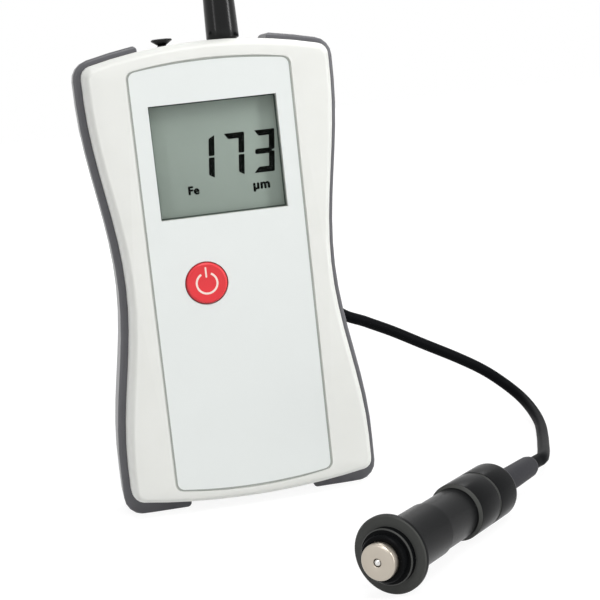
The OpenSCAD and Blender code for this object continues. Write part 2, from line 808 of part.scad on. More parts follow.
module cable_boot() color("#141516") translate([boot_right, split_y, top_z])
    turned([
        [0, -boot_in - boot_disc_t], [boot_disc_dia / 2, -boot_in - boot_disc_t],
        [boot_disc_dia / 2, -boot_in], [boot_neck_dia / 2, -boot_in],
        [boot_neck_dia / 2, seat], [boot_dia / 2 - bevel, seat], [boot_dia / 2, seat + bevel],
        [boot_waist_dia / 2, boot_waist_up], [boot_end_dia / 2, boot_l - 2 * bevel],
        [boot_end_dia / 2 - bevel, boot_l], [0, boot_l]
    ]);

module probe_lead() color("#161718")
    tube(
        smooth(
            concat(
                [for (p = lead_arch) [boot_right, split_y, boot_end_z] + p],
                lead_fall,
                [for (k = [2 : -1 : 0]) probe_point(barrel_to + tail_l + k * lead_straight)]
            ),
            lead_steps
        ),
        lead_dia / 2, lead_sides
    );

module probe_boot() color("#4a4a4e") at_probe()
    turned([
        [0, barrel_to - tail_stem_l], [tail_stem_dia / 2, barrel_to - tail_stem_l],
        [tail_stem_dia / 2, barrel_to + seat], [tail_dia / 2, barrel_to + seat],
        [tail_dia / 2, barrel_to + tail_l * tail_straight], [tail_end_dia / 2, barrel_to + tail_l],
        [0, barrel_to + tail_l]
    ]);

module probe_barrel() color("#161718") at_probe() turned(concat(
    [
        [wire_bore_dia / 2, spring_back], [chamber_r - run, spring_back],
        [chamber_r - run, ring_from + seat], [sleeve_dia / 2 - seat, ring_from + seat],
        [sleeve_dia / 2 - seat, ring_to + seat],
        [barrel_dia / 2 - ring_groove, ring_to + seat], [barrel_dia / 2, ring_to + seat + ring_groove]
    ],
    arc(barrel_dia / 2 - barrel_round, barrel_to - barrel_round, barrel_round, 0, 90, 6),
    [
        [tail_stem_dia / 2 + seat, barrel_to], [tail_stem_dia / 2 + seat, barrel_to - tail_stem_l - seat],
        [wire_bore_dia / 2, barrel_to - tail_stem_l - seat]
    ]
));

module probe_ring() color("#202123") at_probe() turned([
    [sleeve_dia / 2, ring_from + seat], [ring_dia / 2 - ring_chamfer, ring_from + seat],
    [ring_dia / 2, ring_from + seat + ring_chamfer], [ring_dia / 2, ring_to - ring_groove],
    [ring_dia / 2 - ring_groove, ring_to], [sleeve_dia / 2, ring_to]
]);

module probe_sleeve() color("#18191a") at_probe() turned([
    [pole_dia / 2 + run, -lip_reach], [lip_dia / 2 - bevel, -lip_reach], [lip_dia / 2, -lip_reach + bevel],
    [lip_dia / 2, -nose_reach], [nose_dia / 2 - bevel, -nose_reach], [nose_dia / 2, -nose_reach + bevel],
    [nose_dia / 2, 0], [flange_dia / 2 - bevel, 0], [flange_dia / 2, bevel], [flange_dia / 2, flange_t],
    [collar_dia / 2, flange_t], [collar_dia / 2, collar_to - bevel], [collar_dia / 2 - bevel, collar_to],
    [sleeve_dia / 2, collar_to], [sleeve_dia / 2, ring_from], [chamber_r, ring_from],
    [chamber_r, -lip_reach + lip_wall], [pole_dia / 2 + run, -lip_reach + lip_wall]
]);

module sensor_spring() color("silver") at_probe() {
    rise = spring_l - spring_wire;
    steps = spring_turns * 12;
    line = [
        for (i = [0 : steps])
            let (a = 360 * spring_turns * i / steps)
            [
                (spring_r - spring_wire / 2) * cos(a), (spring_r - spring_wire / 2) * sin(a),
                holder_back + seat + spring_wire / 2 + rise * i / steps
            ]
    ];
    tube(line, spring_wire / 2, spring_sides);
}

module sensor_holder() color("#2b2d30") at_probe() turned([
    [pole_dia / 2 + seat / 2, holder_front], [chamber_r - run, holder_front], [chamber_r - run, holder_back],
    [core_dia / 2 + seat, holder_back], [core_dia / 2 + seat, holder_back - holder_end],
    [pole_dia / 2 + seat / 2, holder_back - holder_end]
]);

module sensor_coil() color("#b8703a") at_probe() {
    coil_front = pole_back + coil_gap;
    coil_back = holder_back - holder_end - coil_gap;
    turned([
        [core_dia / 2 + seat, coil_front], [pole_dia / 2 - coil_gap, coil_front],
        [pole_dia / 2 - coil_gap, coil_back], [core_dia / 2 + seat, coil_back]
    ]);
}

module sensor_pole() color("#c9c3b5") at_probe()
    turned([
        [0, pole_face + pin_well], [pin_well_dia / 2, pole_face + pin_well], [pin_well_dia / 2, pole_face],
        [pole_dia / 2 - bevel, pole_face], [pole_dia / 2, pole_face + bevel], [pole_dia / 2, pole_back],
        [core_dia / 2, pole_back], [core_dia / 2, holder_back], [0, holder_back]
    ]);

module sensor_tip() color("#e8e6e0") at_probe() {
    foot = pole_face + pin_well;
    shoulder = foot - pin_straight;
    dome_h = shoulder - pole_face + pin_out;
    turned(concat(
        [[0, foot], [pin_dia / 2, foot]],
        [for (i = [0 : 5]) let (a = 90 * i / 6) [pin_dia / 2 * cos(a), shoulder - dome_h * sin(a)]],
        [[0, pole_face - pin_out]]
    ));
}

front_shell();
rear_shell();
grip_left();
grip_right();
front_foil();
display_window();
lcd_frame();
lcd_glass();
zebra_strips();
main_board();
snap_dome();
power_key();
buzzer();
battery_cells();
battery_contacts();
battery_cover();
housing_screws();
data_socket();
dust_plug();
cable_boot();
probe_lead();
probe_boot();
probe_barrel();
probe_ring();
probe_sleeve();
sensor_spring();
sensor_holder();
sensor_coil();
sensor_pole();
sensor_tip();
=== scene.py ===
import logging
import math
from collections.abc import Callable
from dataclasses import dataclass
from enum import Enum

import bpy
from mathutils import Matrix, Vector


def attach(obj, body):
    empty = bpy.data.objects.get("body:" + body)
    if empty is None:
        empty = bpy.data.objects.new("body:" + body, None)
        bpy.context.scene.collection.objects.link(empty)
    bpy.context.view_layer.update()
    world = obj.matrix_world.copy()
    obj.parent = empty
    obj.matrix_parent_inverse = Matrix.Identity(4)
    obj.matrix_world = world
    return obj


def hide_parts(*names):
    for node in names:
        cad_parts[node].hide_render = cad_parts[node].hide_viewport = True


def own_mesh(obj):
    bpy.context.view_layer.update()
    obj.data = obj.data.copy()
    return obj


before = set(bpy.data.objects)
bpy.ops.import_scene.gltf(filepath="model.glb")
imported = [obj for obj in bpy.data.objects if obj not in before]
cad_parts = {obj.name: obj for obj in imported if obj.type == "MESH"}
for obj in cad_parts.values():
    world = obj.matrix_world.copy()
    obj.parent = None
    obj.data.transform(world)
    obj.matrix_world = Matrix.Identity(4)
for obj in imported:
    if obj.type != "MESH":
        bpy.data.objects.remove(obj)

LOG = logging.getLogger("coating_gauge")
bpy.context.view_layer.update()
MM = 0.001
IMAGE_PX = 600
WHITE = (1, 1, 1, 1)

Point = tuple[float, float, float]
Profile = list[tuple[float, float]]


# Finishes

# Colour sockets of a mix node, and the detail, spread and waver of the textures
MIX_FIRST, MIX_SECOND, MIX_RESULT = 6, 7, 2
NOISE_DETAIL = 2.0
GLOSS_SPREAD = 0.1
WAVE_WAVER = 0.4
# A wave texture's period is this share of its scale's unit
WAVE_PERIOD = math.pi / 10


class Pattern(Enum):
    """How the surface of a finish was made."""

    MOULDED = "spark-eroded mould grain"
    TURNED = "fine rings from the lathe"
    WOUND = "layers of wire round an axis"


def linear(colour: str) -> tuple[float, float, float, float]:
    """Turns an sRGB hex colour into linear values.

    Args:
        colour: Six hex digits after a hash sign.

    Returns:
        Red, green, blue and an alpha of one.
    """
    parts = [int(colour[i:i + 2], 16) / 255 for i in (1, 3, 5)]
    red, green, blue = (c / 12.92 if c <= 0.04045 else ((c + 0.055) / 1.055) ** 2.4 for c in parts)
    return red, green, blue, 1.0


def add(
    tree: bpy.types.NodeTree,
    kind: str,
    settings: dict[str | int, object] | None = None,
    links: dict[str | int, bpy.types.NodeSocket] | None = None,
) -> bpy.types.Node:
    """Adds one node with its settings and links.

    Args:
        tree: The node tree that gets the node.
        kind: Blender's name of the node.
        settings: Values of the node's own properties, or of its input sockets.
        links: Output sockets that go into the node's input sockets.

    Returns:
        The new node.
    """
    node = tree.nodes.new(kind)
    for key, value in (settings or {}).items():
        if isinstance(key, str) and key.islower():
            setattr(node, key, value)
        else:
            node.inputs[key].default_value = value
    for key, source in (links or {}).items():
        tree.links.new(source, node.inputs[key])
    return node


@dataclass(frozen=True)
class Finish:
    """One finish of the gauge, named for the real material and how its surface was made, or for the light
    or shade that it paints.
    """

    name: str
    colour: str
    second: str
    roughness: float
    grain_mm: float
    relief_mm: float
    patch_mm: float = 9.0
    ior: float = 1.5
    metallic: float = 0.0
    alpha: float = 1.0
    pattern: Pattern = Pattern.MOULDED

    def material(self, place: Matrix | None = None) -> bpy.types.Material:
        """Makes the finish's material.

        Args:
            place: Where the axis of a turned or wound pattern lies; its Z is the axis.

        Returns:
            The material, made once for each finish.
        """
        made = bpy.data.materials.get(self.name)
        if made is not None:
            return made
        made = bpy.data.materials.new(self.name)
        made.use_nodes = True
        tree = made.node_tree
        shader = tree.nodes["Principled BSDF"]
        for socket, value in (("IOR", self.ior), ("Metallic", self.metallic), ("Alpha", self.alpha)):
            shader.inputs[socket].default_value = value
        where = add(tree, "ShaderNodeTexCoord").outputs["Object"]
        if place is not None:
            where = add(
                tree,
                "ShaderNodeMapping",
                {
                    "vector_type": "TEXTURE",
                    "Location": place.to_translation(),
                    "Rotation": place.to_euler(),
                },
                {"Vector": where},
            ).outputs["Vector"]
        broad = {"Scale": 1 / (self.patch_mm * MM), "Detail": NOISE_DETAIL}
        patches = add(tree, "ShaderNodeTexNoise", broad, {"Vector": where})
        shades = {"data_type": "RGBA", MIX_FIRST: linear(self.colour), MIX_SECOND: linear(self.second)}
        tint = add(tree, "ShaderNodeMix", shades, {0: patches.outputs[0]})
        tree.links.new(tint.outputs[MIX_RESULT], shader.inputs["Base Color"])
        height = self._height(tree, where)
        low, high = self.roughness * (1 - GLOSS_SPREAD), min(1.0, self.roughness * (1 + GLOSS_SPREAD))
        gloss = add(tree, "ShaderNodeMapRange", {"To Min": low, "To Max": high}, {"Value": height})
        tree.links.new(gloss.outputs[0], shader.inputs["Roughness"])
        bump = add(tree, "ShaderNodeBump", {"Distance": self.relief_mm * MM}, {"Height": height})
        tree.links.new(bump.outputs[0], shader.inputs["Normal"])
        return made

    def _height(self, tree: bpy.types.NodeTree, where: bpy.types.NodeSocket) -> bpy.types.NodeSocket:
        """Adds the texture of the surface's relief.

        Args:
            tree: The material's node tree.
            where: The coordinates that the pattern follows.

        Returns:
            The socket that gives the height, from 0 to 1.
        """
        scale = 1 / (self.grain_mm * MM)
        if self.pattern is Pattern.MOULDED:
            return add(
                tree, "ShaderNodeTexNoise", {"Scale": scale, "Detail": NOISE_DETAIL}, {"Vector": where}
            ).outputs[0]
        kind = "RINGS" if self.pattern is Pattern.TURNED else "BANDS"
        settings = {"wave_type": kind, "Scale": scale * WAVE_PERIOD, "Distortion": WAVE_WAVER}
        settings["rings_direction" if kind == "RINGS" else "bands_direction"] = "Z"
        return add(tree, "ShaderNodeTexWave", settings, {"Vector": where}).outputs["Fac"]


# ABS moulded in a finely eroded tool: an even white with a faint satin grain. The real grain is
# about 0.1 mm; it is drawn coarser so that it shows at this size.
WHITE_ABS = Finish("abs_moulded_white", "#E9EAE6", "#E3E4DF", 0.42, 0.45, 0.004)
# Thermoplastic rubber moulded over the sides: satin dark grey, with a slightly coarser grain
GRIP_RUBBER = Finish("tpe_soft_touch_grey", "#5A5A5E", "#545458", 0.36, 0.5, 0.006)
# Polyester film printed on its back: pale, cool and smooth, with a soft sheen
FOIL = Finish("polyester_film_pale_grey", "#E7EBE9", "#E3E7E5", 0.36, 0.6, 0.002, patch_mm=25.0)
# Painted shade of the groove round the film: a thin grey-green line along its edge
EDGE_SHADE = Finish("painted_groove_shade_grey_green", "#9DA29C", "#969B95", 0.5, 0.3, 0.002)
# Cast acrylic sheet: clear, with a hard polished face whose reflections hardly show
ACRYLIC = Finish("acrylic_clear_polished", "#1C2220", "#1A201E", 0.06, 4.0, 0.0005, ior=1.49, alpha=0.05)
# Reflective twisted-nematic display: grey-green film behind glass, with a faint cloudiness
DISPLAY = Finish("lcd_reflective_grey_green", "#A4B0A7", "#9CA9A0", 0.4, 0.3, 0.001, patch_mm=14.0, ior=1.2)
# Painted shade of the recess round the display: a thin dark grey-green frame along the window's edge
RECESS_SHADE = Finish("painted_recess_shade_dark_green", "#59635C", "#525C55", 0.5, 0.3, 0.001, ior=1.2)
# Dark liquid-crystal segments: a soft black with no gloss of their own
SEGMENT = Finish("lcd_segment_black", "#070907", "#0B0D0B", 0.6, 0.2, 0.0005, ior=1.05)
# ABS in red, moulded with a satin face
RED_ABS = Finish("abs_moulded_red", "#E2323A", "#DD2D35", 0.36, 0.4, 0.003)
# Cream pad print on the key
PAD_PRINT = Finish("pad_print_cream", "#F8E3DA", "#F2DBD2", 0.45, 0.2, 0.001)
# Soft PVC of the cable boot: black, smooth and a little glossy
BOOT_PVC = Finish("pvc_moulded_black", "#070808", "#0B0C0C", 0.21, 0.5, 0.002, ior=1.33)
# Extruded PVC jacket of the lead: black with a long soft highlight
LEAD_PVC = Finish("pvc_extruded_black", "#0B0C0E", "#0F1012", 0.5, 0.7, 0.005, ior=1.1)
# Rubber boot behind the probe: dark grey and matt
TAIL_RUBBER = Finish("rubber_moulded_dark_grey", "#2A2A2E", "#252529", 0.62, 0.5, 0.015, ior=1.25)
# Acetal turned on a lathe: black, satin, with hardly visible rings
ACETAL = Finish(
    "acetal_turned_black", "#0B0C0D", "#101112", 0.27, 0.25, 0.0005, ior=1.12, pattern=Pattern.TURNED
)
# The same acetal where it was faced across: fine rings and a duller gloss, with a lighter dark grey that is
# painted light on the faces looking towards the nose and a painted highlight on the front chamfers
FACED_ACETAL_PAINTED_LIT = Finish(
    "acetal_faced_painted_lit_grey", "#464745", "#40413F", 0.5, 0.3, 0.003, ior=1.25, pattern=Pattern.TURNED
)
# Nickel-plated soft iron: warm silver with fine rings from facing
NICKEL = Finish(
    "nickel_plate_faced", "#BBB3A7", "#B3AB9F", 0.32, 0.22, 0.0015, metallic=1.0, pattern=Pattern.TURNED
)
# Sintered carbide pin: hard and bright
CARBIDE = Finish("carbide_ground_bright", "#D9D8D6", "#CFCECC", 0.2, 0.2, 0.0005, metallic=1.0)
# Zinc-plated steel of the screws, contacts, dome and spring
ZINC = Finish("steel_zinc_plated", "#BDBEC0", "#B2B3B6", 0.32, 0.3, 0.001, metallic=1.0)
# Glass-filled plastic of the inner frames: dark and dull
DARK_PA = Finish("polyamide_moulded_dark", "#2C2D30", "#262729", 0.55, 0.4, 0.006)
# Epoxy laminate under green solder mask
LAMINATE = Finish("epoxy_laminate_green", "#2F6B45", "#28603D", 0.4, 1.2, 0.006)
# Silicone contact strip with a pink body
ZEBRA = Finish("silicone_strip_pink", "#CF8C98", "#C58390", 0.6, 0.4, 0.004)
# Enamelled copper wire, wound in layers
COPPER = Finish(
    "copper_wire_enamelled", "#B8703A", "#A86432", 0.35, 0.2, 0.02, metallic=1.0, pattern=Pattern.WOUND
)
# Printed steel jacket of a cell, in a plain colour
JACKET = Finish("steel_jacket_blue_grey", "#47708C", "#3F6782", 0.38, 0.8, 0.001)


# Modelling helpers

# A solid's triangles share corners within the first of these, and the ends of a spin within the second
MERGE_MM = 0.002
SEAM_MM = 0.0005
# Two triangles make one face if flat within the first angle and square within the second
FLAT_DEGREES = 1.0
SKEW_DEGREES = 40.0
# Edges sharper than this are rounded: first those of a turned piece, then those of the others
TURNED_DEGREES = 28.0
ROUND_DEGREES = 50.0


def deselect() -> None:
    """Leaves no object selected, so that an operator acts on the new piece alone."""
    bpy.ops.object.select_all(action="DESELECT")


def select_only(piece: bpy.types.Object) -> None:
    """Makes one piece the selected and the active one.

    Args:
        piece: The piece.
    """
    deselect()
    piece.select_set(True)
    bpy.context.view_layer.objects.active = piece


def apply_modifier(piece: bpy.types.Object, kind: str, **settings: object) -> None:
    """Adds a modifier with its settings and applies it.

    Args:
        piece: The mesh that is changed.
        kind: Blender's name of the modifier.
        **settings: Values of the modifier's properties.
    """
    select_only(piece)
    bpy.ops.object.modifier_add(type=kind)
    modifier = piece.modifiers[-1]
    for key, value in settings.items():
        setattr(modifier, key, value)
    bpy.ops.object.modifier_apply(modifier=modifier.name)


def rounded(
    piece: bpy.types.Object, edge_mm: float, degrees: float = ROUND_DEGREES, segments: int = 3
) -> None:
    """Rounds the edges of a piece.

    Args:
        piece: The mesh that is changed.
        edge_mm: The width of the rounding.
        degrees: Edges sharper than this are rounded.
        segments: Steps of the rounding.
    """
    apply_modifier(
        piece, "BEVEL", width=edge_mm * MM, segments=segments, limit_method="ANGLE",
        angle_limit=math.radians(degrees), use_clamp_overlap=True,
    )


def shade(piece: bpy.types.Object, degrees: float = 35.0, weighted: bool = False) -> None:
    """Shades a piece smooth, apart from its sharp edges.

    Args:
        piece: The mesh that is shaded.
        degrees: Edges sharper than this stay sharp.
        weighted: Whether large faces keep their own direction up to their edges.
    """
    select_only(piece)
    bpy.ops.object.shade_smooth_by_angle(angle=math.radians(degrees))
    if weighted:
        apply_modifier(piece, "WEIGHTED_NORMAL", keep_sharp=True)


def settle(piece: bpy.types.Object, place: Matrix | None = None) -> None:
    """Moves a piece to its place and writes the place into its mesh.

    Args:
        piece: The piece that is moved.
        place: Where it goes, or none if it is in its place.
    """
    select_only(piece)
    if place is not None:
        piece.matrix_world = place @ piece.matrix_world
    bpy.ops.object.transform_apply(location=True, rotation=True, scale=True)


def carry(
    piece: bpy.types.Object, finish: Finish, body: str, nodes: tuple[str, ...] = (),
    place: Matrix | None = None,
) -> None:
    """Gives a finished piece its material and its body, and hides the nodes that it stands for.

    Args:
        piece: The finished piece.
        finish: What it is made of.
        body: The body that it moves with.
        nodes: The solids that it replaces.
        place: Where the axis of a turned or wound pattern lies.
    """
    piece.data.materials.clear()
    piece.data.materials.append(finish.material(place))
    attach(piece, body)
    if nodes:
        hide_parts(*nodes)
    LOG.info("%s rides on %s in %s", piece.name, body, finish.name)


def merged_copy(node: str, name: str) -> bpy.types.Object:
    """Copies a solid's mesh and merges its loose triangles, so that it can be shaded smooth.

    Args:
        node: The solid's node.
        name: The name of the new piece.

    Returns:
        The new piece, with the solid's own form.
    """
    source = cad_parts[node]
    piece = bpy.data.objects.new(name, source.data.copy())
    bpy.context.scene.collection.objects.link(piece)
    select_only(piece)
    bpy.ops.object.mode_set(mode="EDIT")
    bpy.ops.mesh.select_all(action="SELECT")
    bpy.ops.mesh.remove_doubles(threshold=MERGE_MM * MM)
    bpy.ops.mesh.tris_convert_to_quads(
        face_threshold=math.radians(FLAT_DEGREES), shape_threshold=math.radians(SKEW_DEGREES)
    )
    bpy.ops.object.mode_set(mode="OBJECT")
    bpy.ops.mesh.customdata_custom_splitnormals_clear()
    return piece


def start_plane(name: str, wide_mm: float, tall_mm: float) -> bpy.types.Object:
    """Starts a flat piece as a plane in XY, and stays in edit mode with all of it selected.

    Args:
        name: The name of the new piece.
        wide_mm: Its width, along X.
        tall_mm: Its height, along Y.

    Returns:
        The new piece.
    """
    deselect()
    bpy.ops.mesh.primitive_plane_add(size=MM)
    piece = bpy.context.object
    piece.name = name
    bpy.ops.object.mode_set(mode="EDIT")
    bpy.ops.mesh.select_all(action="SELECT")
    bpy.ops.transform.resize(value=(wide_mm, tall_mm, 1))
    return piece


def start_vertex(name: str, at: Point) -> bpy.types.Object:
    """Starts a piece as a plane that is merged to one vertex, and stays in edit mode.

    Args:
        name: The name of the new piece.
        at: Where the vertex lies, in metres.

    Returns:
        The new piece.
    """
    piece = start_plane(name, 1, 1)
    bpy.ops.mesh.select_mode(type="VERT")
    bpy.ops.mesh.merge(type="CENTER")
    bpy.ops.transform.translate(value=at)
    return piece


def pick(piece: bpy.types.Object, test: Callable[[Vector], bool]) -> None:
    """Selects the vertices of a piece by their place, and stays in edit mode.

    Args:
        piece: The piece that is being edited.
        test: Says for a place, in metres, whether the vertex is selected.
    """
    bpy.ops.object.mode_set(mode="OBJECT")
    bpy.context.tool_settings.mesh_select_mode = (True, False, False)
    for group in (piece.data.polygons, piece.data.edges):
        for item in group:
            item.select = False
    for vertex in piece.data.vertices:
        vertex.select = test(vertex.co)
    bpy.ops.object.mode_set(mode="EDIT")


def turned_piece(
    name: str, profile: Profile, place: Matrix, edge_mm: float = 0.15, steps: int = 72
) -> bpy.types.Object:
    """Models a turned piece: a profile is extruded point by point and spun round its axis.

    Args:
        name: The name of the new piece.
        profile: Radius and height of each corner, in millimetres.
        place: Where the axis lies; its Z is the axis.
        edge_mm: Rounding of the edges.
        steps: Steps of the spin.

    Returns:
        The new piece, in its place.
    """
    radius, height = profile[0]
    piece = start_vertex(name, (radius * MM, 0.0, height * MM))
    for next_radius, next_height in profile[1:]:
        step = ((next_radius - radius) * MM, 0.0, (next_height - height) * MM)
        bpy.ops.mesh.extrude_region_move(TRANSFORM_OT_translate={"value": step})
        radius, height = next_radius, next_height
    bpy.ops.mesh.select_all(action="SELECT")
    bpy.ops.mesh.spin(steps=steps, angle=math.tau, center=(0, 0, 0), axis=(0, 0, 1))
    bpy.ops.mesh.select_all(action="SELECT")
    bpy.ops.mesh.remove_doubles(threshold=SEAM_MM * MM)
    bpy.ops.mesh.normals_make_consistent(inside=False)
    bpy.ops.object.mode_set(mode="OBJECT")
    rounded(piece, edge_mm, TURNED_DEGREES)
    settle(piece, place)
    shade(piece)
    return piece


def joined(pieces: list[bpy.types.Object], name: str) -> bpy.types.Object:
    """Joins pieces of one print into one object.

    Args:
        pieces: The pieces, each in its place.
        name: The name of the joined object.

    Returns:
        The joined object.
    """
    deselect()
    for piece in pieces:
        piece.select_set(True)
    bpy.context.view_layer.objects.active = pieces[0]
    bpy.ops.object.join()
    pieces[0].name = name
    return pieces[0]


def thickened(piece: bpy.types.Object, depth_mm: float) -> bpy.types.Object:
    """Extrudes all faces of a flat piece towards the back and closes it.

    Args:
        piece: A flat piece in the XZ plane.
        depth_mm: The thickness.

    Returns:
        The same piece.
    """
    select_only(piece)
    bpy.ops.object.mode_set(mode="EDIT")
    bpy.ops.mesh.select_all(action="SELECT")
    bpy.ops.mesh.extrude_region_move(TRANSFORM_OT_translate={"value": (0, depth_mm * MM, 0)})
    bpy.ops.mesh.select_all(action="SELECT")
    bpy.ops.mesh.normals_make_consistent(inside=False)
    bpy.ops.object.mode_set(mode="OBJECT")
    return piece


def facing_front(x_mm: float, y_mm: float, z_mm: float) -> Matrix:
    """Gives the place of a piece that was drawn in XY and faces the front.

    Args:
        x_mm: Where its origin goes, to the right.
        y_mm: The same, to the back.
        z_mm: The same, upwards.

    Returns:
        The place.
    """
    upright = Matrix.Rotation(math.pi / 2, 4, "X")
    return Matrix.Translation((x_mm * MM, y_mm * MM, z_mm * MM)) @ upright


# The photograph's view


@dataclass(frozen=True)
class PhotoCamera:
    """The camera of the photograph, fitted to the corners of the housing, foil, display and probe."""

    place_mm: Point = (-43.01, -363.22, 108.04)
    yaw: float = 9.566
    pitch: float = -9.158
    roll: float = -6.119
    focal_px: float = 1450.0
    sensor_mm: float = 36.0
    nearest: float = 0.01

    def build(self) -> None:
        """Makes the camera and gives it to the scene."""
        yaw, pitch, roll = (math.radians(a) for a in (self.yaw, self.pitch, self.roll))
        flat = math.cos(pitch)
        ahead = Vector((math.sin(yaw) * flat, math.cos(yaw) * flat, math.sin(pitch)))
        level = Vector((math.cos(yaw), -math.sin(yaw), 0))
        upright = level.cross(ahead)
        right = math.cos(roll) * level + math.sin(roll) * upright
        up = -math.sin(roll) * level + math.cos(roll) * upright
        data = bpy.data.cameras.new("photo_camera")
        data.sensor_width = self.sensor_mm
        data.lens = self.focal_px / IMAGE_PX * self.sensor_mm
        data.clip_start = self.nearest
        camera = bpy.data.objects.new("photo_camera", data)
        turn = Matrix((right, up, -ahead)).transposed().to_4x4()
        camera.matrix_world = Matrix.Translation(Vector(self.place_mm) * MM) @ turn
        bpy.context.scene.collection.objects.link(camera)
        bpy.context.scene.camera = camera


@dataclass(frozen=True)
class Lamp:
    """One soft lamp: where it stands, how wide and tall it is and how strong, in metres and watts."""

    name: str
    place: Point
    wide: float
    tall: float
    power: float


@dataclass(frozen=True)
class Studio:
    """A pale table under a pale surround, with soft lamps; its lengths are in metres."""

    table_size: float = 6.0
    ambient: float = 0.34
    table_grey: float = 0.72
    table_white: float = 0.75
    table_glow: float = 1.2
    shadow_reach: tuple[float, float] = (0.14, 0.4)
    lamps: tuple[Lamp, ...] = (
        Lamp("lamp_above", (0.1, -0.45, 0.95), 0.6, 0.5, 5.2),
        Lamp("lamp_right", (0.9, -0.52, 0.3), 0.16, 0.9, 6.4),
        Lamp("lamp_left", (-0.8, -0.6, 0.4), 0.12, 0.8, 1.5),
        Lamp("lamp_back", (0.4, 0.75, 0.8), 0.4, 0.4, 3.0),
    )
    aim: Point = (0.02, -0.02, 0.05)

    def build(self) -> None:
        """Makes the table, the lamps and the surround."""
        scene = bpy.context.scene
        scene.view_settings.view_transform = "Standard"
        for lamp in self.lamps:
            data = bpy.data.lights.new(lamp.name, "AREA")
            data.shape = "RECTANGLE"
            data.size, data.size_y = lamp.wide, lamp.tall
            data.energy = lamp.power
            light = bpy.data.objects.new(lamp.name, data)
            light.location = lamp.place
            light.rotation_mode = "QUATERNION"
            beam = Vector(self.aim) - Vector(lamp.place)
            light.rotation_quaternion = beam.to_track_quat("-Z", "Y")
            scene.collection.objects.link(light)
        self._table()
        self._surround()

    def _seen(self, tree: bpy.types.NodeTree) -> bpy.types.NodeSocket:
        """Adds nodes that tell which rays see the white.

        Args:
            tree: The node tree that gets them.

        Returns:
            The socket that is 1 for rays from the camera, a mirror or through glass, and else 0.
        """
        path = add(tree, "ShaderNodeLightPath")
        both = add(
            tree, "ShaderNodeMath", {"operation": "MAXIMUM"},
            {0: path.outputs["Is Camera Ray"], 1: path.outputs["Is Glossy Ray"]},
        )
        return add(
            tree, "ShaderNodeMath", {"operation": "MAXIMUM"},
            {0: both.outputs[0], 1: path.outputs["Is Transmission Ray"]},
        ).outputs[0]

    def _table(self) -> None:
        """Makes the pale table, which looks white and keeps a faint shadow."""
        deselect()
        bpy.ops.mesh.primitive_plane_add(size=self.table_size, location=(0, 0, 0))
        table = bpy.context.object
        table.name = "table"
        material = bpy.data.materials.new("table_white_laminate")
        material.use_nodes = True
        tree = material.node_tree
        tree.nodes.clear()
        seen = self._seen(tree)
        spot = add(tree, "ShaderNodeTexCoord")
        away = add(tree, "ShaderNodeVectorMath", {"operation": "LENGTH"}, {0: spot.outputs["Object"]})
        near, far = self.shadow_reach
        white = add(
            tree, "ShaderNodeMapRange", {"From Min": near, "From Max": far, "To Min": self.table_white},
            {"Value": away.outputs["Value"]},
        )
        share = add(tree, "ShaderNodeMath", {"operation": "MULTIPLY"}, {0: seen, 1: white.outputs[0]})
        matt = add(tree, "ShaderNodeBsdfDiffuse", {"Color": (*(self.table_grey,) * 3, 1)})
        glow = add(tree, "ShaderNodeEmission", {"Color": WHITE, "Strength": self.table_glow})
        mix = add(
            tree, "ShaderNodeMixShader", None,
            {0: share.outputs[0], 1: matt.outputs[0], 2: glow.outputs[0]},
        )
        add(tree, "ShaderNodeOutputMaterial", None, {"Surface": mix.outputs[0]})
        table.data.materials.append(material)

    def _surround(self) -> None:
        """Makes the pale surround: white where it is seen, and a plain level of light elsewhere."""
        world = bpy.data.worlds.new("pale_surround")
        bpy.context.scene.world = world
        world.use_nodes = True
        tree = world.node_tree
        tree.nodes.clear()
        level = add(
            tree, "ShaderNodeMapRange", {"To Min": self.ambient, "To Max": 1.0}, {"Value": self._seen(tree)}
        )
        sky = add(tree, "ShaderNodeBackground", {"Color": WHITE}, {"Strength": level.outputs[0]})
        add(tree, "ShaderNodeOutputWorld", None, {"Surface": sky.outputs[0]})


# The object's sub-assemblies


@dataclass
class ProbeMount:
    """Where the probe lies on the table; its axis runs from the flange to the back."""

    flange_mm: Point = (16.3, -87.0, 8.3898)
    turn: float = 42.0
    dip: float = 2.1935

    def place(self) -> Matrix:
        """Gives the place of the probe, with its axis along Z."""
        return (
            Matrix.Translation(Vector(self.flange_mm) * MM)
            @ Matrix.Rotation(math.radians(-self.turn), 4, "Z")
            @ Matrix.Rotation(math.radians(-90 - self.dip), 4, "X")
        )

    def point(self, behind_mm: float) -> Vector:
        """Gives a point on the axis.

        Args:
            behind_mm: Its distance behind the flange.

        Returns:
            The point, in metres.
        """
        return self.place() @ Vector((0, 0, behind_mm * MM))


